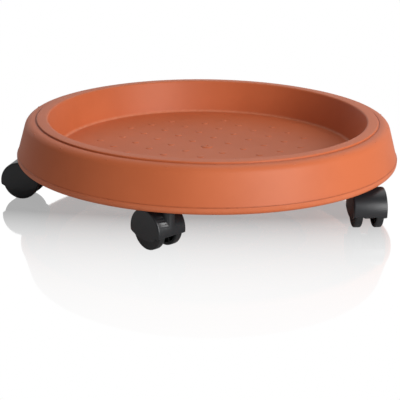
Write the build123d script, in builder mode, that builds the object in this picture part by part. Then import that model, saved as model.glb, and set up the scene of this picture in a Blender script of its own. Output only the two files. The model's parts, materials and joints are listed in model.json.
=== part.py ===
"""A round plant caddy: one moulded tray on five hooded twin-wheel casters.

Millimetres, +Z up. The origin is on the tray's axis, in the plane that the pot stands on.
Heights and depths count from that plane. A caster's own sizes count from its axle's middle.
"""

import os
from itertools import product
from math import atan2, cos, hypot, radians, sin, sqrt

from build123d import *

# Tray: its widest ring, and the widths of the rings inside it
lip_radius = 190.0
bead_overhang = 0.8
skirt_lean = 9.4
shoulder_width = 10.0
rim_band_width = 10.8
well_lean = 8.7

# Tray: heights and depths
rim_height = 32.7
rim_step = 1.5
lip_depth = 9.0
bead_height = 6.6
bead_step = 0.5

# Tray: walls and edge roundings
wall = 2.6
lip_foot_width = 5.6
lip_rounding = 4.2
shoulder_rounding = 8.0
rim_outer_rounding = 0.7
rim_inner_rounding = 2.0
floor_rounding = 3.0
groove_width = 0.9
groove_depth = 0.6

# Floor marks: a turned square grid of raised pips, and the pad and pit of the gate in the middle
pip_height = 1.0
pip_radius = 3.2
pip_draft = 30.0
pip_rounding = 0.5
pip_pitch = 26.3
pip_grid_turn = 35.3
pip_free_margin = 37.0
gate_pad_radius = 5.6
gate_pit_radius = 1.3
gate_pit_depth = 1.8

# Stiffening under the tray
rib_width = 2.0
rim_ribs_per_caster = 4
rim_rib_depth = 22.0
floor_rib_drop = 3.5
floor_ring_radii = (104.0, 58.0, 13.0)
floor_spokes_per_caster = 2

# Casters: where the stems stand, and which way each caster trails
first_stem_angle = -173.1
stem_inset = 19.6
trail = 13.9
trail_angles = (168.3, 133.1, -86.0, -110.0, 24.0)

# Casters: stem, and the ring that holds it in its socket
stem_radius = 4.0
stem_rise = 34.0
stem_seat_depth = 20.0
stem_chamfer = 0.8
ring_groove_depth = 0.8
ring_level = 27.0
ring_height = 1.8
ring_thickness = 1.25
ring_slit = 2.0
socket_wall = 3.1

# Casters: axle pin
axle_radius = 2.5
axle_chamfer = 0.4
snap_groove_depth = 0.3
snap_groove_width = 1.2
snap_groove_offset = 8.0

# Casters: wheel
wheel_radius = 18.2
tread_width = 6.6
tread_thickness = 3.0
tread_rounding = 1.2
wheel_bevel = 1.8
wheel_crown = 0.8
wheel_flat_radius = 10.0
wheel_disc_wall = 2.8
wheel_end_wall = 1.6
hub_wall = 3.3
wheel_rib_count = 6
wheel_rib_width = 1.4
wheel_rib_setback = 0.4

# Casters: hood
hood_wall = 1.2
cheek_wall = 1.7
hood_end_drop = 2.6
cheek_drop = 8.6
hood_rounding = 1.6
web_width = 6.0
neck_wall = 1.8
neck_rounding = 0.6

# Clearances
axle_fit = 0.06
snap_gap = 0.1
press_fit = 0.02
socket_fit = 0.08
ring_fit = 0.15
ring_recess_gap = 0.4
neck_gap = 0.3
stem_end_gap = 0.6
axle_end_gap = 0.5
hood_clearance = 2.3
tread_gap = 0.4
hub_gap = 0.3
cheek_gap = 0.4
neck_side_gap = 0.5

# Rings and levels of the tray that follow from the sizes above
skirt_foot_radius = lip_radius - bead_overhang
skirt_top_radius = skirt_foot_radius - skirt_lean
groove_radius = skirt_top_radius - shoulder_width
rim_inner_radius = groove_radius - rim_band_width
floor_radius = rim_inner_radius - well_lean
shoulder_height = rim_height - rim_step
floor_top = -pip_height
floor_under = floor_top - wall
lip_bottom = -lip_depth
bead_top = lip_bottom + bead_height
skirt_foot = bead_top + bead_step

# Sockets and stems
caster_count = len(trail_angles)
caster_pitch = 360 / caster_count
stem_circle_radius = lip_radius - stem_inset
neck_top = lip_bottom
socket_foot = neck_top + neck_gap
socket_top = neck_top + stem_rise + stem_end_gap
socket_radius = stem_radius + socket_fit
boss_radius = socket_radius + socket_wall
ring_inner_radius = stem_radius - ring_groove_depth + ring_recess_gap
ring_outer_radius = ring_inner_radius + ring_thickness

# Half widths and radii of a caster, out from the middle of its axle
web_side = web_width / 2
neck_radius = stem_radius + neck_wall
hub_inner = web_side + hub_gap
hub_radius = axle_radius + hub_wall
tread_inner = neck_radius + neck_side_gap
tread_outer = tread_inner + tread_width
wheel_face = tread_outer + wheel_crown
disc_inner = wheel_face - wheel_disc_wall
tread_back_radius = wheel_radius - tread_thickness
axle_bore = axle_radius + axle_fit
axle_bore_end = wheel_face - wheel_end_wall
cheek_inner = wheel_face + cheek_gap
cheek_outer = cheek_inner + cheek_wall
cavity_radius = wheel_radius + tread_gap
hood_radius = cavity_radius + hood_wall
axle_level = lip_bottom - hood_clearance - hood_radius


def well_wall_back(height):
    """Radius of the pot well's wall at a height, on the side of the hollow rim."""
    rise = rim_height - floor_top
    inner_side = floor_radius + well_lean * (height - floor_top) / rise
    return inner_side + wall / cos(atan2(well_lean, rise))


def skirt_back(height):
    """Radius of the outer skirt at a height, on the side of the hollow rim."""
    rise = shoulder_height - skirt_foot
    outer_side = skirt_foot_radius - skirt_lean * (height - skirt_foot) / rise
    return outer_side - wall / cos(atan2(skirt_lean, rise))


def tray_outline():
    """Corners of the tray's section: out over the floor and rim, down the skirt, back underneath."""
    rim_under = rim_height - wall
    shoulder_under = shoulder_height - wall
    step_radius = groove_radius - wall
    lip_back = lip_radius - lip_foot_width
    return [
        (0, floor_top),
        (floor_radius, floor_top),
        (rim_inner_radius, rim_height),
        (groove_radius, rim_height),
        (groove_radius, shoulder_height - groove_depth),
        (groove_radius + groove_width, shoulder_height - groove_depth),
        (groove_radius + groove_width, shoulder_height),
        (skirt_top_radius, shoulder_height),
        (skirt_foot_radius, skirt_foot),
        (lip_radius, bead_top),
        (lip_radius, lip_bottom),
        (lip_back, lip_bottom),
        (skirt_back(skirt_foot), skirt_foot),
        (skirt_back(shoulder_under), shoulder_under),
        (step_radius, shoulder_under),
        (step_radius, rim_under),
        (well_wall_back(rim_under), rim_under),
        (well_wall_back(floor_under), floor_under),
        (0, floor_under),
    ]


def round_corner(section, place, rounding):
    """Round the section's corner at a place."""
    fillet(section.vertices().sort_by_distance(place)[0], rounding)


def make_shell():
    """The tray's turned shell: floor, well wall, rim with its groove, shoulder, skirt and bead."""
    with BuildPart() as shell:
        with BuildSketch(Plane.XZ) as section:
            with BuildLine():
                Polyline(*tray_outline(), close=True)
            make_face()
            round_corner(section, (floor_radius, floor_top), floor_rounding)
            round_corner(section, (rim_inner_radius, rim_height), rim_inner_rounding)
            round_corner(section, (groove_radius, rim_height), rim_outer_rounding)
            round_corner(section, (skirt_top_radius, shoulder_height), shoulder_rounding)
            round_corner(section, (lip_radius, lip_bottom), lip_rounding)
        revolve(axis=Axis.Z)
    return shell.part


def make_rim_space():
    """The hollow of the rim, out to the middle of its walls, which trims the ribs and bosses."""
    half = wall / 2
    top = shoulder_height - half
    with BuildPart() as space:
        with BuildSketch(Plane.XZ):
            with BuildLine():
                Polyline(
                    (well_wall_back(floor_under) - half, socket_foot),
                    (well_wall_back(floor_under) - half, floor_under),
                    (well_wall_back(top) - half, top),
                    (skirt_back(top) + half, top),
                    (skirt_back(skirt_foot) + half, skirt_foot),
                    (lip_radius - lip_foot_width / 2, socket_foot),
                    close=True,
                )
            make_face()
        revolve(axis=Axis.Z)
    return space.part


def make_rim_ribs():
    """Radial ribs in the hollow rim, and a boss round each caster's socket."""
    rim_space = make_rim_space()
    rib_count = rim_ribs_per_caster * caster_count
    rib_foot = shoulder_height - rim_rib_depth
    with BuildPart() as ribs:
        with BuildSketch(Plane.XY.offset(rib_foot)):
            with PolarLocations((floor_radius + lip_radius) / 2, rib_count, start_angle=first_stem_angle):
                Rectangle(lip_radius - floor_radius, rib_width)
        extrude(amount=rim_rib_depth)
        with BuildSketch(Plane.XY.offset(socket_foot)):
            with PolarLocations(stem_circle_radius, caster_count, start_angle=first_stem_angle):
                Circle(boss_radius)
        extrude(amount=shoulder_height - socket_foot)
        add(rim_space, mode=Mode.INTERSECT)
    return ribs.part


def make_floor_ribs():
    """Rings and spokes under the floor."""
    spoke_count = floor_spokes_per_caster * caster_count
    inner = min(floor_ring_radii)
    outer = well_wall_back(floor_under) - wall / 2
    with BuildPart() as ribs:
        with BuildSketch(Plane.XY.offset(floor_under - floor_rib_drop)):
            for radius in sorted(floor_ring_radii, reverse=True):
                Circle(radius + rib_width / 2)
                Circle(radius - rib_width / 2, mode=Mode.SUBTRACT)
            with PolarLocations((inner + outer) / 2, spoke_count, start_angle=first_stem_angle):
                Rectangle(outer - inner, rib_width)
        extrude(amount=floor_rib_drop + wall / 2)
    return ribs.part


def pip_spots():
    """Places of the floor's pips in the turned grid, all but the one in the middle."""
    field = floor_radius - pip_free_margin
    reach = int(field // pip_pitch)
    grid = product(range(-reach, reach + 1), repeat=2)
    return [
        (column * pip_pitch, row * pip_pitch)
        for column, row in grid
        if 0 < hypot(column, row) * pip_pitch <= field
    ]


def make_floor_marks():
    """The raised pips, and the pad round the gate's pit."""
    turn = radians(pip_grid_turn)
    turned = Plane(origin=(0, 0, floor_top), x_dir=(cos(turn), sin(turn), 0), z_dir=(0, 0, 1))
    with BuildPart() as marks:
        with BuildSketch(turned):
            with Locations(*pip_spots()):
                Circle(pip_radius)
            Circle(gate_pad_radius)
        extrude(amount=pip_height, taper=pip_draft)
        fillet(marks.edges().group_by(Axis.Z)[-1], pip_rounding)
    return marks.part


def make_tray():
    """The whole moulding, with its sockets, ring recesses and gate pit cut."""
    shell = make_shell()
    rim_ribs = make_rim_ribs()
    floor_ribs = make_floor_ribs()
    floor_marks = make_floor_marks()
    recess_height = ring_height + 2 * ring_recess_gap
    with BuildPart() as tray:
        add(shell)
        add(rim_ribs)
        add(floor_ribs)
        add(floor_marks)
        with BuildSketch(Plane.XY.offset(socket_foot)):
            with PolarLocations(stem_circle_radius, caster_count, start_angle=first_stem_angle):
                Circle(socket_radius)
        extrude(amount=socket_top - socket_foot, mode=Mode.SUBTRACT)
        with BuildSketch(Plane.XY.offset(neck_top + ring_level - recess_height / 2)):
            with PolarLocations(stem_circle_radius, caster_count, start_angle=first_stem_angle):
                Circle(ring_outer_radius + ring_fit)
        extrude(amount=recess_height, mode=Mode.SUBTRACT)
        with BuildSketch(Plane.XY):
            Circle(gate_pit_radius)
        extrude(amount=-gate_pit_depth, mode=Mode.SUBTRACT)
    return tray.part


def stem_place(caster):
    """Where a caster's stem stands, as X and Y."""
    angle = radians(first_stem_angle + caster * caster_pitch)
    return stem_circle_radius * cos(angle), stem_circle_radius * sin(angle)


def trail_direction(caster):
    """The level direction from a caster's stem to its axle, as X and Y."""
    angle = radians(trail_angles[caster])
    return cos(angle), sin(angle)


def stem_plane(caster, level):
    """A level plane across a caster's stem, with X along the trail."""
    stem_x, stem_y = stem_place(caster)
    along_x, along_y = trail_direction(caster)
    return Plane(origin=(stem_x, stem_y, level), x_dir=(along_x, along_y, 0), z_dir=(0, 0, 1))


def axle_plane(caster):
    """A caster's side view through the middle of its axle: X along the trail, Y up, axle as normal."""
    stem_x, stem_y = stem_place(caster)
    along_x, along_y = trail_direction(caster)
    middle = (stem_x + trail * along_x, stem_y + trail * along_y, axle_level)
    return Plane(origin=middle, x_dir=(along_x, along_y, 0), z_dir=(along_y, -along_x, 0))


def wheel_plane(caster, side):
    """A wheel's half section: X up from the axle, Y out along the axle on one side."""
    along_x, along_y = trail_direction(caster)
    middle = axle_plane(caster).origin
    return Plane(origin=middle, x_dir=(0, 0, 1), z_dir=(side * along_x, side * along_y, 0))


def make_hood(caster):
    """Hood: cheeks outside both wheels, a web between them, and the neck that takes the stem."""
    side_view = axle_plane(caster)
    axle_axis = Axis(side_view.origin, side_view.z_dir)
    end_x = sqrt(hood_radius**2 - hood_end_drop**2)
    back_end = (-end_x, -hood_end_drop)
    front_end = (end_x, -hood_end_drop)
    clear = 2 * hood_radius
    with BuildPart() as hood:
        with BuildSketch(wheel_plane(caster, 1)) as section:
            with Locations((hood_radius / 2, 0)):
                Rectangle(hood_radius, 2 * cheek_outer)
            round_corner(section, (hood_radius, cheek_outer), hood_rounding)
            round_corner(section, (hood_radius, -cheek_outer), hood_rounding)
        revolve(axis=axle_axis)
        with BuildSketch(side_view):
            with BuildLine():
                ThreePointArc(front_end, (0, -cheek_drop), back_end)
                Polyline(
                    back_end,
                    (-clear, -hood_end_drop),
                    (-clear, clear),
                    (clear, clear),
                    (clear, -hood_end_drop),
                    front_end,
                )
            make_face()
        extrude(amount=clear, both=True, mode=Mode.INTERSECT)
        for side in (-1, 1):
            with BuildSketch(side_view.offset(side * web_side)):
                Circle(cavity_radius)
            extrude(amount=side * (cheek_inner - web_side), mode=Mode.SUBTRACT)
        with BuildSketch(stem_plane(caster, axle_level)):
            Circle(neck_radius)
        extrude(amount=neck_top - axle_level)
        fillet(hood.edges().group_by(Axis.Z)[-1], neck_rounding)
        with BuildSketch(stem_plane(caster, neck_top)):
            Circle(stem_radius + press_fit)
        extrude(amount=-stem_seat_depth, mode=Mode.SUBTRACT)
        with BuildSketch(side_view):
            Circle(axle_radius + press_fit)
        extrude(amount=web_width, both=True, mode=Mode.SUBTRACT)
    return hood.part


def wheel_outline():
    """Corners of a wheel's half section: radius first, then distance out along the axle."""
    bead_radius = axle_bore - snap_groove_depth
    bead_side = snap_groove_width / 2 - snap_gap
    bevel_radius = wheel_radius - wheel_bevel
    bevel_face = tread_outer + wheel_crown / 2
    return [
        (0, wheel_face),
        (0, axle_bore_end),
        (axle_bore, axle_bore_end),
        (axle_bore, snap_groove_offset + bead_side),
        (bead_radius, snap_groove_offset + bead_side),
        (bead_radius, snap_groove_offset - bead_side),
        (axle_bore, snap_groove_offset - bead_side),
        (axle_bore, hub_inner),
        (hub_radius, hub_inner),
        (hub_radius, disc_inner),
        (tread_back_radius, disc_inner),
        (tread_back_radius, tread_inner),
        (wheel_radius, tread_inner),
        (wheel_radius, tread_outer),
        (bevel_radius, bevel_face),
        (wheel_flat_radius, wheel_face),
    ]


def make_wheel(caster, side):
    """One wheel: rounded tread, crowned face, blind hub with a snap bead, and ribs on its inner side."""
    rib_inner = tread_inner + wheel_rib_setback
    rib_length = tread_back_radius - axle_bore
    with BuildPart() as wheel:
        with BuildSketch(wheel_plane(caster, side)) as section:
            with BuildLine():
                Polyline(*wheel_outline(), close=True)
            make_face()
            round_corner(section, (wheel_radius, tread_inner), tread_rounding)
            round_corner(section, (wheel_radius, tread_outer), tread_rounding)
        revolve(axis=Axis(axle_plane(caster).origin, axle_plane(caster).z_dir))
        with BuildSketch(axle_plane(caster).offset(side * rib_inner)):
            with PolarLocations(axle_bore + rib_length / 2, wheel_rib_count):
                Rectangle(rib_length + tread_thickness / 2, wheel_rib_width)
            Circle(axle_bore + hub_wall / 2, mode=Mode.SUBTRACT)
        extrude(amount=side * (disc_inner - rib_inner))
    return wheel.part


def make_axle(caster):
    """Steel pin through the hood's web, chamfered at its ends and grooved inside each wheel."""
    side_view = axle_plane(caster)
    with BuildPart() as axle:
        with BuildSketch(side_view):
            Circle(axle_radius)
        extrude(amount=axle_bore_end - axle_end_gap, both=True)
        chamfer(axle.edges().filter_by(GeomType.CIRCLE), axle_chamfer)
        for side in (-1, 1):
            with BuildSketch(side_view.offset(side * snap_groove_offset)):
                Circle(axle_radius)
                Circle(axle_radius - snap_groove_depth, mode=Mode.SUBTRACT)
            extrude(amount=snap_groove_width / 2, both=True, mode=Mode.SUBTRACT)
    return axle.part


def make_stem(caster):
    """Steel stem: pressed into the neck, grooved for its ring, chamfered at both ends."""
    groove_height = ring_height + 2 * ring_recess_gap
    with BuildPart() as stem:
        with BuildSketch(stem_plane(caster, neck_top - stem_seat_depth)):
            Circle(stem_radius)
        extrude(amount=stem_seat_depth + stem_rise)
        chamfer(stem.edges().filter_by(GeomType.CIRCLE), stem_chamfer)
        with BuildSketch(stem_plane(caster, neck_top + ring_level)):
            Circle(stem_radius)
            Circle(stem_radius - ring_groove_depth, mode=Mode.SUBTRACT)
        extrude(amount=groove_height / 2, both=True, mode=Mode.SUBTRACT)
    return stem.part


def make_grip_ring(caster):
    """Split spring ring, in the stem's groove and the socket's recess."""
    with BuildPart() as ring:
        with BuildSketch(stem_plane(caster, neck_top + ring_level)):
            Circle(ring_outer_radius)
            Circle(ring_inner_radius, mode=Mode.SUBTRACT)
            with Locations((ring_outer_radius, 0)):
                Rectangle(2 * ring_outer_radius, ring_slit, mode=Mode.SUBTRACT)
        extrude(amount=ring_height / 2, both=True)
    return ring.part


def save(part, label):
    """Label one piece and write it to its own file."""
    part.label = label
    export_step(part, f"parts/{label}.step")


def main():
    os.makedirs("parts", exist_ok=True)
    save(make_tray(), "tray")
    for caster in range(caster_count):
        name = f"caster_{caster + 1}"
        save(make_hood(caster), f"{name}_hood")
        save(make_stem(caster), f"{name}_stem")
        save(make_grip_ring(caster), f"{name}_grip_ring")
        save(make_axle(caster), f"{name}_axle")
        save(make_wheel(caster, -1), f"{name}_wheel_left")
        save(make_wheel(caster, 1), f"{name}_wheel_right")


main()
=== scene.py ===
# %% [markdown]
# # A plant caddy on five casters
# A plant caddy is a shallow plastic tray on casters, so that a heavy pot can be rolled about.
# The real tray is one injection moulding in terracotta-coloured polypropylene. Each caster is a black
# nylon hood over two wheels, and its steel stem snaps into a socket under the tray's rim.
# This lesson dresses a construction model with finished meshes and materials. The construction model
# is loaded first. It is never moved, and every new piece is placed from it.

# %% Load the construction model
import json
from math import cos, hypot, pi, radians, sin, tan

import bmesh
import bpy
from mathutils import Matrix, Vector


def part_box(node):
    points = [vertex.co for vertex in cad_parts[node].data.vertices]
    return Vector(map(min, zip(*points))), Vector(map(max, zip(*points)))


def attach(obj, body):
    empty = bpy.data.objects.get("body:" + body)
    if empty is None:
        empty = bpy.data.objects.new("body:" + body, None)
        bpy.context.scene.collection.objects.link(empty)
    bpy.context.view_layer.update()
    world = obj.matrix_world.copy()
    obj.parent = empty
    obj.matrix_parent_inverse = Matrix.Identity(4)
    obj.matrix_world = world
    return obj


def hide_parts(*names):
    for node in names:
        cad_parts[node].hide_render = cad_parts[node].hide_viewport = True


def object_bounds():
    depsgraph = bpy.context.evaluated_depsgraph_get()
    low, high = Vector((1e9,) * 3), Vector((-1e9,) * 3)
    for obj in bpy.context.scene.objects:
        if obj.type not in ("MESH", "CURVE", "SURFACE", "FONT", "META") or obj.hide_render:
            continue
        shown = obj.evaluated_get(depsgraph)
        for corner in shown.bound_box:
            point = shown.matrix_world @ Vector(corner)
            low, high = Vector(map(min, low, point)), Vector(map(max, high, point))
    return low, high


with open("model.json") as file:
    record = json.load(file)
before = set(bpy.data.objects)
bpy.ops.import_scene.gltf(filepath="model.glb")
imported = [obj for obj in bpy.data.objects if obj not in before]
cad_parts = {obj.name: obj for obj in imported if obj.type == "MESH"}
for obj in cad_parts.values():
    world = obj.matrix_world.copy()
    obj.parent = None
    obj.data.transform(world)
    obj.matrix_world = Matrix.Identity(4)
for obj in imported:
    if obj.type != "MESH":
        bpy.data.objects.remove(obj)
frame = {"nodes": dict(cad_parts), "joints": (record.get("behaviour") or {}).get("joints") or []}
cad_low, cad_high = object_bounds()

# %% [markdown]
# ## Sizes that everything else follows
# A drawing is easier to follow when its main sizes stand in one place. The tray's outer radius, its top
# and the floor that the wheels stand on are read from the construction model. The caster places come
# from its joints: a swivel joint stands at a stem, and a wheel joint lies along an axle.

MM = 0.001
tray_low, tray_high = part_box("tray")
lip_radius = (tray_high.x - tray_low.x) / 2
lip_bottom = tray_low.z
rim_top = tray_high.z
ground = cad_low.z
joints = {joint["name"]: joint for joint in frame["joints"]}
caster_numbers = range(1, 6)
print(f"lip radius {lip_radius:.4f} m, rim {rim_top:.4f} m, lip {lip_bottom:.4f} m, ground {ground:.4f} m")

# %% [markdown]
# ## The camera
# A product photographer works with a long lens from a little above the table, so that the ellipse of the
# rim stays shallow and the far side hardly shrinks. The eye stands about five and a half tray radii away.
# It looks down at the tray's middle, and small turns of the camera set the framing.
# Building the view from a direction and three turns keeps each of them a number with a meaning.

# %% Place the camera
photo_width = 400
focal_pixels = 1053.78
sensor_width = 36.0
eye_distance = 5.6342 * lip_radius
eye_elevation = radians(15.78)
turn_right, tip_down, roll = radians(0.34), radians(-2.71), radians(-0.80)
widest_ring_height = lip_bottom + 4.3 * MM


def camera_matrix():
    """The camera's place and turn, from its elevation and its three small turns."""
    away = Vector((0, -cos(eye_elevation), sin(eye_elevation)))
    forward, right = -away, Vector((1, 0, 0))
    upward = right.cross(forward)
    yaw = Matrix.Rotation(turn_right, 3, upward)
    forward, right = yaw @ forward, yaw @ right
    pitch = Matrix.Rotation(tip_down, 3, right)
    forward, upward = pitch @ forward, pitch @ upward
    lean = Matrix.Rotation(roll, 3, forward)
    right, upward = lean @ right, lean @ upward
    axes = Matrix((right, upward, -forward)).transposed().to_4x4()
    return Matrix.Translation(Vector((0, 0, widest_ring_height)) + away * eye_distance) @ axes


bpy.ops.object.camera_add()
camera = bpy.context.object
camera.name = "camera"
camera.matrix_world = camera_matrix()
camera.data.sensor_width = sensor_width
camera.data.lens = focal_pixels / photo_width * sensor_width
camera.data.clip_start, camera.data.clip_end = 0.05, 60
bpy.context.scene.camera = camera
bpy.context.scene.view_settings.view_transform = "Standard"
print(f"lens {camera.data.lens:.1f} mm, eye {camera.location.length:.2f} m from the pot's seat")

# %% [markdown]
# ## Three tools that are used again and again
# Most of this object is turned: it has the same section all the way round. A turned form can be spun
# from a drawn section, or grown from a circle by extruding its edge and scaling the new ring. Growing it
# keeps each ring's radius and height in plain sight, so that way is used here.
# Sharp corners look false on a moulding, so the section's corners are rounded before it is turned.

# %% Round the corners of a section
arc_steps = 6


def rounded(corners):
    """Draws a section from corners of (radius, height, rounding), with each rounding as a tangent arc."""
    points = [Vector(corners[0][:2])]
    for before, here, after in zip(corners, corners[1:], corners[2:]):
        corner, rounding = Vector(here[:2]), here[2]
        if rounding == 0:
            points.append(corner)
            continue
        back = (Vector(before[:2]) - corner).normalized()
        onward = (Vector(after[:2]) - corner).normalized()
        half = back.angle(onward) / 2
        middle = corner + (back + onward).normalized() * rounding / sin(half)
        first = corner + back * rounding / tan(half) - middle
        side = 1 if first.cross(-back) > 0 else -1
        for step in range(arc_steps + 1):
            turn = Matrix.Rotation(side * (pi - 2 * half) * step / arc_steps, 2)
            points.append(middle + turn @ first)
    points.append(Vector(corners[-1][:2]))
    return points


# %% Turn a section about the Z axis
def begin_edit(piece):
    """Selects one piece alone and opens it in edit mode."""
    bpy.ops.object.select_all(action="DESELECT")
    bpy.context.view_layer.objects.active = piece
    piece.select_set(True)
    bpy.ops.object.mode_set(mode="EDIT")


def end_edit():
    bpy.ops.object.mode_set(mode="OBJECT")


def turned(name, section, sides):
    """Grows a closed form from a circle: its edge is extruded to each radius and height of the section."""
    bpy.ops.object.select_all(action="DESELECT")
    radius, height = section[0]
    bpy.ops.mesh.primitive_circle_add(vertices=sides, radius=radius, fill_type="NGON", location=(0, 0, height))
    piece = bpy.context.object
    piece.name = piece.data.name = name
    bpy.ops.object.transform_apply(location=True, rotation=True, scale=True)
    begin_edit(piece)
    bpy.ops.mesh.select_all(action="SELECT")
    for new_radius, new_height in section[1:]:
        scale = new_radius / radius
        bpy.ops.mesh.extrude_edges_move()
        bpy.ops.transform.resize(value=(scale, scale, 1), center_override=(0, 0, 0))
        bpy.ops.transform.translate(value=(0, 0, new_height - height))
        radius, height = new_radius, new_height
    bpy.ops.mesh.edge_face_add()
    bpy.ops.mesh.select_all(action="SELECT")
    bpy.ops.mesh.normals_make_consistent(inside=False)
    end_edit()
    return piece


# %% [markdown]
# A moulding is one body, so pieces that were modelled apart are welded with a Boolean modifier, which is
# then applied. Repeated forms are modelled once and copied, and each copy's place goes into its own mesh.

# %% Copy, join and weld
def copied(piece, name, place):
    """A copy with its own mesh, moved to a place that is then applied."""
    bpy.ops.object.select_all(action="DESELECT")
    bpy.context.view_layer.objects.active = piece
    piece.select_set(True)
    bpy.ops.object.duplicate()
    copy = bpy.context.object
    copy.name = copy.data.name = name
    copy.matrix_world = place
    bpy.ops.object.transform_apply(location=True, rotation=True, scale=True)
    return copy


def joined(pieces):
    """One object out of several."""
    bpy.ops.object.select_all(action="DESELECT")
    for piece in pieces:
        piece.select_set(True)
    bpy.context.view_layer.objects.active = pieces[0]
    bpy.ops.object.join()
    return pieces[0]


def welded(piece, other, operation="UNION"):
    """Unites two closed forms, cuts the second from the first, or keeps what they share."""
    bpy.ops.object.select_all(action="DESELECT")
    bpy.context.view_layer.objects.active = piece
    bpy.ops.object.modifier_add(type="BOOLEAN")
    modifier = piece.modifiers[-1]
    modifier.operation = operation
    modifier.solver = "EXACT"
    modifier.object = other
    bpy.ops.object.modifier_apply(modifier=modifier.name)
    bpy.data.objects.remove(other)
    return piece


def block(name, low, high):
    """A box between two corners."""
    middle = (Vector(low) + Vector(high)) / 2
    bpy.ops.object.select_all(action="DESELECT")
    bpy.ops.mesh.primitive_cube_add(size=1, location=middle, scale=Vector(high) - Vector(low))
    piece = bpy.context.object
    piece.name = piece.data.name = name
    bpy.ops.object.transform_apply(location=True, rotation=True, scale=True)
    return piece


def about_z(angle, x=0.0, y=0.0, z=0.0):
    """A place at x, y and z, then turned about the tray's axis."""
    return Matrix.Rotation(angle, 4, "Z") @ Matrix.Translation((x, y, z))


# %% [markdown]
# ## The tray's shell
# The real tray is moulded in a two-plate steel tool. Its wall is the same everywhere, about 2.6 mm, so
# that it cools evenly. The rim is hollow: the wall goes up from the floor, over the rim band and the
# shoulder, and down the skirt to a thickened lip. A fine groove divides the band from the shoulder, and a
# bead runs round the foot of the skirt. All of it is one turned section.

# %% Draw and turn the shell's section
wall = 2.6 * MM
floor_top = -1.0 * MM
floor_under = floor_top - wall
skirt_foot_radius = lip_radius - 0.8 * MM
skirt_top_radius = skirt_foot_radius - 9.4 * MM
groove_radius = skirt_top_radius - 10.0 * MM
rim_inner_radius = groove_radius - 10.8 * MM
floor_radius = rim_inner_radius - 8.7 * MM
shoulder_top = rim_top - 1.5 * MM
groove_width, groove_depth = 1.2 * MM, 0.5 * MM
bead_top = lip_bottom + 6.6 * MM
skirt_foot = bead_top + 0.5 * MM
rib_width = 2.0 * MM
floor_rib_depth = 3.5 * MM
floor_ring_radii = (104 * MM, 58 * MM, 13 * MM)
shell_sides = 240


def well_back(height):
    """Radius of the well wall's hidden side at a height."""
    rise = rim_top - floor_top
    lean = rim_inner_radius - floor_radius
    return floor_radius + lean * (height - floor_top) / rise + wall * hypot(lean, rise) / rise


def skirt_back(height):
    """Radius of the skirt's hidden side at a height."""
    rise = shoulder_top - skirt_foot
    lean = skirt_foot_radius - skirt_top_radius
    return skirt_foot_radius - lean * (height - skirt_foot) / rise - wall * hypot(lean, rise) / rise


def shown_side():
    """The section's upper side, from the floor over the rim and down to the lip."""
    return [
        (floor_radius - 12 * MM, floor_top, 0),
        (floor_radius, floor_top, 3 * MM),
        (rim_inner_radius, rim_top, 2 * MM),
        (groove_radius, rim_top, 1 * MM),
        (groove_radius, shoulder_top - groove_depth, 0.55 * MM),
        (groove_radius + groove_width, shoulder_top - groove_depth, 0.2 * MM),
        (groove_radius + groove_width, shoulder_top, 0.25 * MM),
        (skirt_top_radius, shoulder_top, 8 * MM),
        (skirt_foot_radius, skirt_foot, 0.15 * MM),
        (lip_radius, bead_top, 0.6 * MM),
        (lip_radius, lip_bottom, 4.2 * MM),
    ]


def hidden_side():
    """The section's lower side, from the lip up into the hollow rim and in under the floor."""
    rim_under, shoulder_under = rim_top - wall, shoulder_top - wall
    corners = [
        (lip_radius - 5.6 * MM, lip_bottom, 0.5 * MM),
        (skirt_back(skirt_foot), skirt_foot, 2 * MM),
        (skirt_back(shoulder_under), shoulder_under, 3 * MM),
        (groove_radius - wall, shoulder_under, 0.4 * MM),
        (groove_radius - wall, rim_under, 0.4 * MM),
        (well_back(rim_under), rim_under, 1 * MM),
        (well_back(floor_under), floor_under, 2 * MM),
    ]
    for radius in floor_ring_radii:
        for edge, foot in ((1, 0), (1, 1), (-1, 1), (-1, 0)):
            height = floor_under - foot * floor_rib_depth
            corners.append((radius + edge * rib_width / 2, height, 0.3 * MM))
    corners.append((floor_ring_radii[-1] - 4 * MM, floor_under, 0))
    return corners


shell = turned("tray_moulding", rounded(shown_side() + hidden_side()), shell_sides)
print(f"shell: {len(shell.data.polygons)} faces")

# %% [markdown]
# ## Ribs and sockets under the rim
# A hollow rim needs ribs, or it would twist under a full pot. Twenty thin ribs run across it, and at
# every fourth one stands a round boss, bored for a caster's stem. They are modelled as simple plates and
# posts and then welded on, just as the steel tool's slots are cut.

# %% Make the ribs and bosses and weld them on
first_stem = Vector(joints["caster_1_swivel"]["pos_m"])
first_stem_angle = first_stem.xy.angle_signed(Vector((1, 0)))
stem_circle = first_stem.xy.length
ribs_per_caster = 4
rib_count = ribs_per_caster * len(caster_numbers)
rim_rib_depth = 22 * MM
boss_radius, socket_radius = 7.18 * MM, 4.08 * MM
socket_top = lip_bottom + 34.6 * MM
socket_foot = lip_bottom + 0.3 * MM
boss_sides = 40


def around(piece, count, name):
    """Copies of a piece, evenly spaced about the tray's axis from the first stem, as one object."""
    steps = [first_stem_angle + 2 * pi * step / count for step in range(count)]
    copies = [copied(piece, f"{name}_{step}", about_z(angle)) for step, angle in enumerate(steps)]
    bpy.data.objects.remove(piece)
    return joined(copies)


def rim_space():
    """The rim's hollow, out to the middle of the walls."""
    half = wall / 2
    top = shoulder_top - half
    inner_foot = well_back(floor_under) - half
    section = [
        (inner_foot, socket_foot),
        (inner_foot, floor_under),
        (well_back(top) - half, top),
        (skirt_back(top) + half, top),
        (skirt_back(skirt_foot) + half, skirt_foot),
        (lip_radius - 2.8 * MM, socket_foot),
    ]
    space = turned("rim_space", section, shell_sides)
    core_radius = inner_foot
    core = turned("core", [(core_radius, socket_foot - wall), (core_radius, floor_under)], shell_sides)
    return space, core


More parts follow.
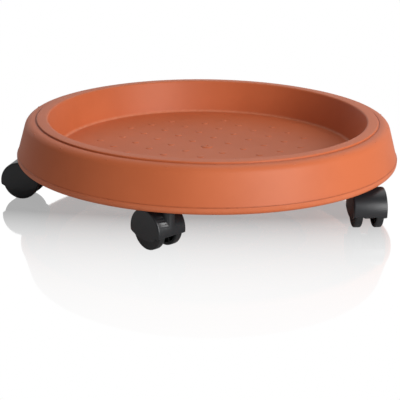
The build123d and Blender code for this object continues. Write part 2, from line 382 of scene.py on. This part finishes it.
def rim_plate():
    """One rib, drawn across the hollow rim as a flat outline and extruded to its thickness."""
    half = wall / 2
    foot = shoulder_top - rim_rib_depth
    top = shoulder_top - half
    plate = block(
        "rim_rib",
        (well_back(foot) - half, -rib_width / 2, foot),
        (skirt_back(foot) + half, rib_width / 2, top),
    )
    inward = well_back(top) - well_back(foot)
    outward = skirt_back(top) - skirt_back(foot)
    begin_edit(plate)
    for shift, outer in ((inward, False), (outward, True)):
        middle = (well_back(foot) + skirt_back(foot)) / 2
        mesh = bmesh.from_edit_mesh(plate.data)
        for vertex in mesh.verts:
            vertex.select = vertex.co.z > (foot + top) / 2 and (vertex.co.x > middle) == outer
        mesh.select_flush_mode()
        bmesh.update_edit_mesh(plate.data)
        bpy.ops.transform.translate(value=(shift, 0, 0))
    end_edit()
    return plate


def boss():
    """One round post for a stem's socket."""
    section = [(boss_radius, socket_foot), (boss_radius, shoulder_top - wall / 2)]
    post = turned("boss", section, boss_sides)
    return copied_once(post, about_z(0, x=stem_circle))


def copied_once(piece, place):
    """The same piece at another place, with the place applied."""
    name = piece.name
    copy = copied(piece, name + "_placed", place)
    bpy.data.objects.remove(piece)
    return copy


def socket(radius, low, high, name):
    """One round hole in a boss."""
    return copied_once(turned(name, [(radius, low), (radius, high)], boss_sides), about_z(0, x=stem_circle))


rim_ribs = around(rim_plate(), rib_count, "rim_rib")
bosses = around(boss(), len(caster_numbers), "boss")
welded(shell, welded(rim_ribs, bosses))
sockets = around(socket(socket_radius, socket_foot - wall, socket_top, "socket"), len(caster_numbers), "socket")
welded(shell, sockets, "DIFFERENCE")
print(f"shell with ribs and sockets: {len(shell.data.polygons)} faces")

# %% Weld the spokes under the floor
spoke_count = 2 * len(caster_numbers)


def spoke():
    """One rib under the floor, from the middle ring out to the well's wall."""
    inner = floor_ring_radii[-1]
    outer = well_back(floor_under) - wall / 2
    low = (inner, -rib_width / 2, floor_under - floor_rib_depth + 0.2 * MM)
    return block("spoke", low, (outer, rib_width / 2, floor_under + wall / 2))


welded(shell, around(spoke(), spoke_count, "spoke"))

# %% [markdown]
# ## Marks on the floor
# Small raised pips keep the pot off the floor, so that water can drain and the pot doesn't stick. They
# stand in a square grid that is turned against the front. In the middle is the gate, where the molten
# plastic entered the tool: a raised pad with a little pit. One pip is turned, copied and welded on.

# %% Make the pips and the gate
pip_pitch = 26.3 * MM
grid_turn = radians(35.3)
pip_field = floor_radius - 37 * MM
pip_base, pip_top, pip_level = 4.2 * MM, 2.6 * MM, -0.3 * MM
sunk = 0.5 * MM
pip_sides = 24


def raised_mark(name, base, top, rounding, flat, level=0.0):
    """A low pad with a rounded edge, sunk a little into the floor."""
    corners = [(base + sunk / 2, floor_top - sunk, 0), (top, level, rounding), (flat, level, 0)]
    return turned(name, rounded(corners), pip_sides)


def pip_places():
    """Grid points inside the field, all but the one in the middle."""
    reach = int(pip_field // pip_pitch)
    places = []
    for column in range(-reach, reach + 1):
        for row in range(-reach, reach + 1):
            away = hypot(column, row) * pip_pitch
            if 0 < away <= pip_field:
                places.append(about_z(grid_turn, column * pip_pitch, row * pip_pitch))
    return places


pip = raised_mark("pip", pip_base, pip_top, 2.4 * MM, 0.6 * MM, pip_level)
pips = [copied(pip, f"pip_{number}", place) for number, place in enumerate(pip_places())]
bpy.data.objects.remove(pip)
pips.append(raised_mark("gate_pad", 6.6 * MM, 4.9 * MM, 1.8 * MM, 2.4 * MM))
print(f"{len(pips)} raised marks")
welded(shell, joined(pips))
gate_pit = turned("gate_pit", [(0.9 * MM, -1.8 * MM), (1.3 * MM, -0.3 * MM), (1.6 * MM, 0.1 * MM)], pip_sides)
welded(shell, gate_pit, "DIFFERENCE")

# %% Smooth the tray
smooth_angle = radians(32)


def smoothed(piece):
    """Shades a piece smooth, with sharp edges where its faces meet steeply."""
    bpy.ops.object.select_all(action="DESELECT")
    bpy.context.view_layer.objects.active = piece
    piece.select_set(True)
    bpy.ops.object.shade_smooth_by_angle(angle=smooth_angle)
    return piece


tray = smoothed(shell)
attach(tray, "tray")
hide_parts("tray")
print(f"tray: {len(tray.data.polygons)} faces")

# %% [markdown]
# ## One caster, modelled beside its axle
# The five casters are the same moulding, so one is modelled at the origin, with its axle along Y, its
# trail along X and the stem behind. The wheels are turned about Z like the tray and then laid over.

# %% Sizes of a caster
wheel_radius = 18.2 * MM
web_side = 3.0 * MM
hub_inner, tread_inner, tread_outer = 3.3 * MM, 6.3 * MM, 12.9 * MM
wheel_face, cheek_inner, cheek_outer = 13.7 * MM, 14.1 * MM, 15.8 * MM
hub_radius, axle_bore = 5.8 * MM, 2.56 * MM
disc_inner = wheel_face - 2.8 * MM
tread_back_radius = wheel_radius - 3.0 * MM
cavity_radius, hood_radius = 18.6 * MM, 19.8 * MM
hood_end_drop, cheek_drop = 2.6 * MM, 8.6 * MM
trail = (Vector(joints["caster_1_wheel_left_spin"]["pos_m"]) - first_stem).xy.length
axle_level = joints["caster_1_wheel_left_spin"]["pos_m"][2]
neck_radius, stem_bore = 5.8 * MM, 4.02 * MM
neck_top = lip_bottom - axle_level
caster_sides = 96
over_y = Matrix.Rotation(radians(-90), 4, "X")

# %% [markdown]
# ### The wheels
# A caster wheel of this kind is a thin dished disc with a narrow crowned tread, so that it turns easily
# on carpet. Its outer face has a shallow step round the hub, and its hidden side has ribs. It is turned
# from a section like the tray, and the ribs are welded on.

# %% Turn a wheel and rib it
def wheel_section():
    """Half section of a wheel: from its outer face over the tread and back to the blind axle bore."""
    return [
        (2.2 * MM, wheel_face - 0.35 * MM, 0),
        (6.0 * MM, wheel_face - 0.35 * MM, 0.2 * MM),
        (6.5 * MM, wheel_face, 0.3 * MM),
        (10.2 * MM, wheel_face, 2 * MM),
        (wheel_radius - 1.8 * MM, tread_outer + 0.4 * MM, 0.4 * MM),
        (wheel_radius - 0.05 * MM, tread_outer, 1.1 * MM),
        (wheel_radius, (tread_inner + tread_outer) / 2, 0),
        (wheel_radius - 0.05 * MM, tread_inner, 1.1 * MM),
        (tread_back_radius, tread_inner, 0.4 * MM),
        (tread_back_radius - 0.3 * MM, disc_inner, 0.8 * MM),
        (hub_radius + 0.2 * MM, disc_inner, 0.8 * MM),
        (hub_radius, hub_inner, 0.3 * MM),
        (axle_bore, hub_inner, 0.3 * MM),
        (axle_bore, wheel_face - 1.6 * MM, 0),
        (0.4 * MM, wheel_face - 1.6 * MM, 0),
    ]


def wheel_rib():
    """One rib of a wheel's hidden side."""
    low = (hub_radius - 0.8 * MM, -0.7 * MM, tread_inner + 0.4 * MM)
    return block("wheel_rib", low, (tread_back_radius + 0.8 * MM, 0.7 * MM, disc_inner + 0.8 * MM))


def wheel():
    """One wheel, with its axle along Z and its outer face up."""
    body = turned("wheel", rounded(wheel_section()), caster_sides)
    rib = wheel_rib()
    ribs = [copied(rib, f"wheel_rib_{step}", about_z(radians(60 * step))) for step in range(6)]
    bpy.data.objects.remove(rib)
    return smoothed(welded(body, joined(ribs)))


wheel_up = wheel()
print(f"wheel: {len(wheel_up.data.polygons)} faces")

# %% [markdown]
# ### The hood
# The hood covers the wheels from above, keeps hair and grit off them, and carries the axle in a web
# between them. Its cheeks hang a little below the axle in a shallow curve. It is cut from a drum with
# rounded edges: a larger drum trims its lower side, and two more hollow it out beside the web. The neck
# that takes the steel stem is a post behind the axle, and it is welded on before the bores are cut.

# %% Carve a hood
def drum(name, radius, low, high, rounding=0.0, middle=(0, 0)):
    """A turned drum with rounded edges, laid over so that its axis runs along Y."""
    corners = [(radius / 2, low, 0), (radius, low, rounding), (radius, high, rounding), (radius / 2, high, 0)]
    up = turned(name, rounded(corners), caster_sides)
    return copied_once(up, Matrix.Translation((middle[0], 0, middle[1])) @ over_y)


def hood():
    """One hood, with its axle along Y, its stem behind the origin and its top up."""
    body = drum("hood", hood_radius, -cheek_outer, cheek_outer, 1.6 * MM)
    half_chord = (hood_radius**2 - hood_end_drop**2) ** 0.5
    rise = cheek_drop - hood_end_drop
    trim_radius = (half_chord**2 + rise**2) / (2 * rise)
    trim = drum("trim", trim_radius, -2 * cheek_outer, 2 * cheek_outer, 0, (0, trim_radius - cheek_drop))
    welded(body, trim, "INTERSECT")
    for low, high in ((web_side, cheek_inner), (-cheek_inner, -web_side)):
        welded(body, drum("pocket", cavity_radius, low, high, 0.6 * MM), "DIFFERENCE")
    neck_corners = [(neck_radius / 2, 0, 0), (neck_radius, 0, 0), (neck_radius, neck_top, 0.6 * MM)]
    neck = turned("neck", rounded(neck_corners + [(neck_radius / 2, neck_top, 0)]), caster_sides)
    welded(body, copied_once(neck, Matrix.Translation((-trail, 0, 0))))
    bore = turned("bore", [(stem_bore, neck_top - 20 * MM), (stem_bore, neck_top + wall)], boss_sides)
    welded(body, copied_once(bore, Matrix.Translation((-trail, 0, 0))), "DIFFERENCE")
    return welded(body, drum("axle_bore", 2.52 * MM, -2 * web_side, 2 * web_side), "DIFFERENCE")


hood_up = hood()
print(f"hood: {len(hood_up.data.polygons)} faces")

# %% [markdown]
# A moulded edge is never knife-sharp. A narrow bevel on every steep edge of the hood catches the light
# as the real one's does.

# %% Break the hood's edges
def edges_broken(piece, width):
    """Merges stray points and bevels all steep edges."""
    begin_edit(piece)
    bpy.ops.mesh.select_all(action="SELECT")
    bpy.ops.mesh.remove_doubles(threshold=0.02 * MM)
    bpy.ops.mesh.normals_make_consistent(inside=False)
    end_edit()
    bpy.ops.object.modifier_add(type="BEVEL")
    bevel = piece.modifiers[-1]
    bevel.width, bevel.segments = width, 2
    bevel.limit_method, bevel.angle_limit = "ANGLE", radians(40)
    bpy.ops.object.modifier_apply(modifier=bevel.name)
    return smoothed(piece)


edges_broken(hood_up, 0.25 * MM)

# %% Set the casters under the tray
def caster_place(number):
    """Where a caster's axle middle lies: X along its trail, Y along its axle, Z up."""
    stem = Vector(joints[f"caster_{number}_swivel"]["pos_m"])
    axle = Vector(joints[f"caster_{number}_wheel_left_spin"]["pos_m"])
    along = (axle - stem).to_3d()
    along.z = 0
    along.normalize()
    upward = Vector((0, 0, 1))
    axes = Matrix((along, upward.cross(along), upward)).transposed().to_4x4()
    return Matrix.Translation(axle) @ axes


def dressed(piece, body, node):
    """Puts the piece on its body and hides the construction node that it stands for."""
    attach(piece, body)
    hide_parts(node)
    return piece


hoods, wheels = [], []
for number in caster_numbers:
    place = caster_place(number)
    hood_copy = copied(hood_up, f"caster_{number}_hood_moulding", place)
    hoods.append(dressed(hood_copy, f"caster_{number}", f"caster_{number}_hood"))
    for side, lay in (("left", over_y), ("right", Matrix.Rotation(radians(90), 4, "X"))):
        name = f"caster_{number}_wheel_{side}"
        wheel_copy = copied(wheel_up, f"{name}_moulding", place @ lay)
        wheels.append(dressed(wheel_copy, name, name))
bpy.data.objects.remove(hood_up)
bpy.data.objects.remove(wheel_up)
print(f"{len(hoods)} hoods and {len(wheels)} wheels")

# %% [markdown]
# ## Finishes
# Three effects are shared by the plastics, so each is a node group with its own inputs: a fine spark
# grain from the steel tool, a slow drift of tone where the melt cooled unevenly, and rings that carry a
# paler tone, painted shade or painted highlight. A group gives only values and colours, and the shader
# itself stays in the material.

# %% Helpers for node groups
def new_group(name, inputs, outputs):
    """An empty shader node group with named sockets."""
    group = bpy.data.node_groups.new(name, "ShaderNodeTree")
    for socket_name, kind, value in inputs:
        made = group.interface.new_socket(name=socket_name, in_out="INPUT", socket_type=kind)
        if value is not None:
            made.default_value = value
    for socket_name, kind in outputs:
        group.interface.new_socket(name=socket_name, in_out="OUTPUT", socket_type=kind)
    return group, group.nodes.new("NodeGroupInput"), group.nodes.new("NodeGroupOutput")


def put(tree, kind, **settings):
    """Adds a node and sets its properties."""
    node = tree.nodes.new(kind)
    for key, value in settings.items():
        setattr(node, key, value)
    return node


FLOAT, COLOUR, VECTOR = "NodeSocketFloat", "NodeSocketColor", "NodeSocketVector"


# %% The tool's grain
def make_grain_group():
    """Fine pitted grain, as spark erosion leaves it on the steel."""
    group, given, result = new_group(
        "tool_grain",
        [("Vector", VECTOR, None), ("Grains per metre", FLOAT, 1200), ("Pitting", FLOAT, 0.5)],
        [("Height", FLOAT), ("Speckle", FLOAT)],
    )
    fine = put(group, "ShaderNodeTexNoise", noise_dimensions="3D")
    fine.inputs["Detail"].default_value = 3
    pits = put(group, "ShaderNodeTexVoronoi", feature="F1")
    mix = put(group, "ShaderNodeMix", data_type="FLOAT")
    for texture in (fine, pits):
        group.links.new(given.outputs["Vector"], texture.inputs["Vector"])
        group.links.new(given.outputs["Grains per metre"], texture.inputs["Scale"])
    group.links.new(given.outputs["Pitting"], mix.inputs[0])
    group.links.new(fine.outputs["Fac"], mix.inputs[2])
    group.links.new(pits.outputs["Distance"], mix.inputs[3])
    group.links.new(mix.outputs[0], result.inputs["Height"])
    group.links.new(fine.outputs["Fac"], result.inputs["Speckle"])
    return group


# %% Slow drift of tone
def make_drift_group():
    """Large soft clouds that shift a colour a little between two tones."""
    group, given, result = new_group(
        "melt_drift",
        [("Vector", VECTOR, None), ("Clouds per metre", FLOAT, 9), ("Tone A", COLOUR, None), ("Tone B", COLOUR, None)],
        [("Color", COLOUR), ("Cloud", FLOAT)],
    )
    clouds = put(group, "ShaderNodeTexNoise", noise_dimensions="3D")
    clouds.inputs["Detail"].default_value = 4
    clouds.inputs["Roughness"].default_value = 0.6
    spread = put(group, "ShaderNodeMapRange", interpolation_type="SMOOTHSTEP")
    spread.inputs["From Min"].default_value = 0.35
    spread.inputs["From Max"].default_value = 0.65
    mix = put(group, "ShaderNodeMix", data_type="RGBA")
    group.links.new(given.outputs["Vector"], clouds.inputs["Vector"])
    group.links.new(given.outputs["Clouds per metre"], clouds.inputs["Scale"])
    group.links.new(clouds.outputs["Fac"], spread.inputs["Value"])
    group.links.new(spread.outputs["Result"], mix.inputs[0])
    group.links.new(given.outputs["Tone A"], mix.inputs[6])
    group.links.new(given.outputs["Tone B"], mix.inputs[7])
    group.links.new(mix.outputs[2], result.inputs["Color"])
    group.links.new(spread.outputs["Result"], result.inputs["Cloud"])
    return group


# %% A ring of paler tone, painted shade or painted highlight
def make_ring_group():
    """Mask of a ring about the Z axis at a radius and height, broken up by noise."""
    group, given, result = new_group(
        "ring_mask",
        [("Vector", VECTOR, None), ("Radius", FLOAT, 0.1), ("Height", FLOAT, 0.0), ("Reach", FLOAT, 0.002)],
        [("Mask", FLOAT)],
    )
    split = put(group, "ShaderNodeSeparateXYZ")
    flat = put(group, "ShaderNodeCombineXYZ")
    length = put(group, "ShaderNodeVectorMath", operation="LENGTH")
    off_radius = put(group, "ShaderNodeMath", operation="SUBTRACT")
    off_height = put(group, "ShaderNodeMath", operation="SUBTRACT")
    offset = put(group, "ShaderNodeCombineXYZ")
    distance = put(group, "ShaderNodeVectorMath", operation="LENGTH")
    share = put(group, "ShaderNodeMath", operation="DIVIDE")
    inverse = put(group, "ShaderNodeMath", operation="SUBTRACT", use_clamp=True)
    inverse.inputs[0].default_value = 1
    noise = put(group, "ShaderNodeTexNoise")
    noise.inputs["Scale"].default_value = 160
    noise.inputs["Detail"].default_value = 5
    broken = put(group, "ShaderNodeMath", operation="MULTIPLY")
    group.links.new(given.outputs["Vector"], split.inputs["Vector"])
    group.links.new(split.outputs["X"], flat.inputs["X"])
    group.links.new(split.outputs["Y"], flat.inputs["Y"])
    group.links.new(flat.outputs["Vector"], length.inputs[0])
    group.links.new(length.outputs["Value"], off_radius.inputs[0])
    group.links.new(given.outputs["Radius"], off_radius.inputs[1])
    group.links.new(split.outputs["Z"], off_height.inputs[0])
    group.links.new(given.outputs["Height"], off_height.inputs[1])
    group.links.new(off_radius.outputs["Value"], offset.inputs["X"])
    group.links.new(off_height.outputs["Value"], offset.inputs["Y"])
    group.links.new(offset.outputs["Vector"], distance.inputs[0])
    group.links.new(distance.outputs["Value"], share.inputs[0])
    group.links.new(given.outputs["Reach"], share.inputs[1])
    group.links.new(share.outputs["Value"], inverse.inputs[1])
    group.links.new(given.outputs["Vector"], noise.inputs["Vector"])
    group.links.new(inverse.outputs["Value"], broken.inputs[0])
    group.links.new(noise.outputs["Fac"], broken.inputs[1])
    group.links.new(broken.outputs["Value"], result.inputs["Mask"])
    return group


grain_group, drift_group, ring_group = make_grain_group(), make_drift_group(), make_ring_group()


# %% [markdown]
# ### Moulded plastic
# Both plastics are built alike, so one function makes them: a base colour that drifts between two tones,
# a roughness that follows the grain, and a bump from the same grain. The terracotta also has four marked
# rings: a faint paler band along the lip, painted shade in the step above the bead and in the groove,
# and a painted highlight along the corner of the floor.

# %% Build a moulded plastic
def moulded_plastic(name, tone_a, tone_b, roughness, grains, depth, rings=(), sheen=0.5):
    """A Principled material with drifting tone, grain in its roughness and bump, and marked rings."""
    material = bpy.data.materials.new(name)
    material.use_nodes = True
    tree = material.node_tree
    shader = tree.nodes["Principled BSDF"]
    place = put(tree, "ShaderNodeTexCoord")
    grain = put(tree, "ShaderNodeGroup", node_tree=grain_group)
    drift = put(tree, "ShaderNodeGroup", node_tree=drift_group)
    grain.inputs["Grains per metre"].default_value = grains
    drift.inputs["Tone A"].default_value = tone_a
    drift.inputs["Tone B"].default_value = tone_b
    for node in (grain, drift):
        tree.links.new(place.outputs["Object"], node.inputs["Vector"])
    colour = drift.outputs["Color"]
    for radius, height, reach, share, tint in rings:
        ring = put(tree, "ShaderNodeGroup", node_tree=ring_group)
        ring.inputs["Radius"].default_value = radius
        ring.inputs["Height"].default_value = height
        ring.inputs["Reach"].default_value = reach
        mark = put(tree, "ShaderNodeMix", data_type="RGBA")
        mark.inputs[7].default_value = tint
        weaken = put(tree, "ShaderNodeMath", operation="MULTIPLY")
        weaken.inputs[1].default_value = share
        tree.links.new(place.outputs["Object"], ring.inputs["Vector"])
        tree.links.new(ring.outputs["Mask"], weaken.inputs[0])
        tree.links.new(weaken.outputs["Value"], mark.inputs[0])
        tree.links.new(colour, mark.inputs[6])
        colour = mark.outputs[2]
    tree.links.new(colour, shader.inputs["Base Color"])
    shader.inputs["Specular IOR Level"].default_value = sheen
    rough = put(tree, "ShaderNodeMapRange")
    rough.inputs["To Min"].default_value = roughness - 0.06
    rough.inputs["To Max"].default_value = roughness + 0.06
    tree.links.new(grain.outputs["Speckle"], rough.inputs["Value"])
    tree.links.new(rough.outputs["Result"], shader.inputs["Roughness"])
    bump = put(tree, "ShaderNodeBump")
    bump.inputs["Distance"].default_value = depth
    bump.inputs["Strength"].default_value = 0.6
    tree.links.new(grain.outputs["Height"], bump.inputs["Height"])
    tree.links.new(bump.outputs["Normal"], shader.inputs["Normal"])
    return material


# Paler tint: a faint band along the lip, and a painted highlight along the floor's corner.
lip_pale_and_corner_highlight = (0.66, 0.24, 0.13, 1)
# Dark tint: painted shade.
painted_shade = (0.16, 0.030, 0.012, 1)
tray_rings = [
    (lip_radius, bead_top - 2 * MM, 3 * MM, 0.35, lip_pale_and_corner_highlight),
    # Painted shade in the step above the bead and in the groove.
    (skirt_foot_radius, bead_top + 0.4 * MM, 1 * MM, 0.8, painted_shade),
    (groove_radius + groove_width / 2, shoulder_top - groove_depth, 1.5 * MM, 0.8, painted_shade),
    # Painted highlight along the rounded corner between the floor and the well wall.
    (floor_radius - 0.5 * MM, floor_top + 0.8 * MM, 2.6 * MM, 1.2, lip_pale_and_corner_highlight),
]
terracotta = moulded_plastic(
    "terracotta_polypropylene",
    (0.54, 0.126, 0.042, 1),
    (0.58, 0.140, 0.049, 1),
    roughness=0.52,
    sheen=0.32,
    grains=1100,
    depth=0.08 * MM,
    rings=tray_rings,
)
black_hood = moulded_plastic("black_nylon", (0.010, 0.011, 0.013, 1), (0.014, 0.015, 0.018, 1), 0.36, 1600, 0.03 * MM)
black_wheel = moulded_plastic("black_tread", (0.009, 0.010, 0.011, 1), (0.013, 0.013, 0.014, 1), 0.5, 1400, 0.03 * MM)


# %% [markdown]
# ### Steel
# The stems, axles and spring rings are drawn steel with a thin zinc coat. Drawing leaves fine lines round
# the bar, so the noise is squeezed along one axis to draw them.

# %% Build the steels
def drawn_steel(name, colour, roughness, squeeze):
    """Metal with fine drawn lines in its roughness and bump."""
    material = bpy.data.materials.new(name)
    material.use_nodes = True
    tree = material.node_tree
    shader = tree.nodes["Principled BSDF"]
    shader.inputs["Metallic"].default_value = 1
    place = put(tree, "ShaderNodeTexCoord")
    mapping = put(tree, "ShaderNodeMapping")
    mapping.inputs["Scale"].default_value = squeeze
    lines = put(tree, "ShaderNodeTexNoise")
    lines.inputs["Scale"].default_value = 900
    tone = put(tree, "ShaderNodeMix", data_type="RGBA")
    tone.inputs[6].default_value = (*[0.82 * part for part in colour], 1)
    tone.inputs[7].default_value = (*colour, 1)
    rough = put(tree, "ShaderNodeMapRange")
    rough.inputs["To Min"].default_value = roughness - 0.08
    rough.inputs["To Max"].default_value = roughness + 0.08
    bump = put(tree, "ShaderNodeBump")
    bump.inputs["Distance"].default_value = 0.01 * MM
    tree.links.new(place.outputs["Object"], mapping.inputs["Vector"])
    tree.links.new(mapping.outputs["Vector"], lines.inputs["Vector"])
    tree.links.new(lines.outputs["Fac"], tone.inputs[0])
    tree.links.new(tone.outputs[2], shader.inputs["Base Color"])
    tree.links.new(lines.outputs["Fac"], rough.inputs["Value"])
    tree.links.new(rough.outputs["Result"], shader.inputs["Roughness"])
    tree.links.new(lines.outputs["Fac"], bump.inputs["Height"])
    tree.links.new(bump.outputs["Normal"], shader.inputs["Normal"])
    return material


zinc = drawn_steel("zinc_plated_steel", (0.66, 0.67, 0.69), 0.34, (1, 1, 6))
pin_steel = drawn_steel("drawn_pin_steel", (0.60, 0.60, 0.61), 0.28, (3, 3, 3))
spring_steel = drawn_steel("spring_steel", (0.42, 0.42, 0.44), 0.36, (4, 4, 1))


# %% Give every piece its finish
def finish_with(piece, material):
    """One material all over a piece."""
    piece.data.materials.clear()
    piece.data.materials.append(material)


def repaint(node, material):
    """Puts a material in a construction node's own slots, and leaves its mesh alone."""
    for slot in node.material_slots:
        slot.material = material


finish_with(tray, terracotta)
for piece in hoods:
    finish_with(piece, black_hood)
for piece in wheels:
    finish_with(piece, black_wheel)
for number in caster_numbers:
    repaint(frame["nodes"][f"caster_{number}_stem"], zinc)
    repaint(frame["nodes"][f"caster_{number}_axle"], pin_steel)
    repaint(frame["nodes"][f"caster_{number}_grip_ring"], spring_steel)

# %% [markdown]
# ## The studio
# The caddy stands on a sheet of glossy white acrylic in front of a white backdrop. The sheet mirrors it,
# and the mirror image fades into white towards the viewer. The picture shows no shadow on the sheet, only
# that mirror image, so to the camera the sheet is plain white wherever it mirrors nothing. To every other
# ray it is an ordinary white surface that throws light back up.

# %% Floor and backdrop
floor_size = 24.0
mirror_share, mirror_full_to, mirror_fade = 0.6, 0.08, 0.078
mirror_stretch = (0.25, 1, 0)


def emitting(tree, strength):
    """A plain white glow."""
    glow = put(tree, "ShaderNodeEmission")
    glow.inputs["Color"].default_value = (1, 1, 1, 1)
    glow.inputs["Strength"].default_value = strength
    return glow


def faded_mirror(tree):
    """How strongly the sheet mirrors: full under the caddy, then falling off exponentially."""
    place = put(tree, "ShaderNodeTexCoord")
    stretched = put(tree, "ShaderNodeVectorMath", operation="MULTIPLY")
    stretched.inputs[1].default_value = mirror_stretch
    away = put(tree, "ShaderNodeVectorMath", operation="LENGTH")
    tree.links.new(place.outputs["Object"], stretched.inputs[0])
    tree.links.new(stretched.outputs["Vector"], away.inputs[0])
    value = away.outputs["Value"]
    steps = (
        ("SUBTRACT", mirror_full_to),
        ("MAXIMUM", 0),
        ("DIVIDE", -mirror_fade),
        ("EXPONENT", None),
        ("MULTIPLY", mirror_share),
    )
    for operation, number in steps:
        node = put(tree, "ShaderNodeMath", operation=operation)
        if number is not None:
            node.inputs[1].default_value = number
        tree.links.new(value, node.inputs[0])
        value = node.outputs["Value"]
    return value


def acrylic_material():
    """White sheet: a fading mirror image for the camera, plain white for other rays, clear from below."""
    material = bpy.data.materials.new("white_acrylic")
    material.use_nodes = True
    tree = material.node_tree
    tree.nodes.remove(tree.nodes["Principled BSDF"])
    result = tree.nodes["Material Output"]
    white = put(tree, "ShaderNodeBsdfDiffuse")
    white.inputs["Color"].default_value = (0.8, 0.8, 0.8, 1)
    mirror = put(tree, "ShaderNodeBsdfGlossy")
    mirror.inputs["Color"].default_value = (1, 1, 1, 1)
    mirror.inputs["Roughness"].default_value = 0.05
    seen, whole = put(tree, "ShaderNodeMixShader"), put(tree, "ShaderNodeMixShader")
    rays = put(tree, "ShaderNodeLightPath")
    tree.links.new(faded_mirror(tree), seen.inputs["Fac"])
    tree.links.new(emitting(tree, 1.0).outputs["Emission"], seen.inputs[1])
    tree.links.new(mirror.outputs["BSDF"], seen.inputs[2])
    tree.links.new(rays.outputs["Is Camera Ray"], whole.inputs["Fac"])
    tree.links.new(white.outputs["BSDF"], whole.inputs[1])
    tree.links.new(seen.outputs["Shader"], whole.inputs[2])
    sides = put(tree, "ShaderNodeNewGeometry")
    clear = put(tree, "ShaderNodeBsdfTransparent")
    either = put(tree, "ShaderNodeMixShader")
    tree.links.new(sides.outputs["Backfacing"], either.inputs["Fac"])
    tree.links.new(whole.outputs["Shader"], either.inputs[1])
    tree.links.new(clear.outputs["BSDF"], either.inputs[2])
    tree.links.new(either.outputs["Shader"], result.inputs["Surface"])
    return material


def backdrop_material():
    """Evenly lit white paper, which throws only a little light on what stands before it."""
    material = bpy.data.materials.new("backdrop_paper")
    material.use_nodes = True
    tree = material.node_tree
    tree.nodes.remove(tree.nodes["Principled BSDF"])
    rays = put(tree, "ShaderNodeLightPath")
    strength = put(tree, "ShaderNodeMapRange")
    strength.inputs["To Min"].default_value = 1.03
    strength.inputs["To Max"].default_value = 0.3
    glow = emitting(tree, 1.0)
    tree.links.new(rays.outputs["Is Diffuse Ray"], strength.inputs["Value"])
    tree.links.new(strength.outputs["Result"], glow.inputs["Strength"])
    tree.links.new(glow.outputs["Emission"], tree.nodes["Material Output"].inputs["Surface"])
    return material


def sheet(name, size, location, tilt, material):
    """A flat sheet of the studio, placed, tilted and finished."""
    bpy.ops.object.select_all(action="DESELECT")
    bpy.ops.mesh.primitive_plane_add(size=size, location=location, rotation=(tilt, 0, 0))
    made = bpy.context.object
    made.name = made.data.name = name
    bpy.ops.object.transform_apply(location=True, rotation=True, scale=True)
    finish_with(made, material)
    return made


sheet("acrylic_floor", floor_size, (0, 0, ground), 0, acrylic_material())
sheet("backdrop", 8.0, (0, 3.2, 3.9), radians(90), backdrop_material())

# %% [markdown]
# A large soft light from the right and front draws the bright side of the skirt, and a softer one from
# above and behind draws the rim. The left side has only the dim room, so the form turns into shade.

# %% Room and lamps
room = bpy.data.worlds.new("dim_room")
bpy.context.scene.world = room
room.use_nodes = True
room_light = room.node_tree.nodes["Background"]
room_light.inputs["Color"].default_value = (1, 1, 1, 1)
room_rays = put(room.node_tree, "ShaderNodeLightPath")
room_strength = put(room.node_tree, "ShaderNodeMapRange")
room_strength.inputs["To Min"].default_value = 0.2
room_strength.inputs["To Max"].default_value = 1
room.node_tree.links.new(room_rays.outputs["Is Camera Ray"], room_strength.inputs["Value"])
room.node_tree.links.new(room_strength.outputs["Result"], room_light.inputs["Strength"])


def soft_box(name, spot, target, width, depth, power, colour=(1, 1, 1)):
    """A rectangular soft light that faces a point."""
    bpy.ops.object.light_add(type="AREA", location=spot)
    lamp = bpy.context.object
    lamp.name = name
    lamp.data.shape = "RECTANGLE"
    lamp.data.size, lamp.data.size_y = width, depth
    lamp.data.energy = power
    lamp.data.color = colour
    lamp.rotation_mode = "QUATERNION"
    lamp.rotation_quaternion = (Vector(target) - Vector(spot)).to_track_quat("-Z", "Y")
    return lamp


soft_box("key", (1.28, -1.42, 0.66), (0, 0, 0), 1.0, 1.0, 36)
soft_box("top", (0.5, 0.5, 1.7), (0, 0, 0), 1.4, 1.2, 7.5)
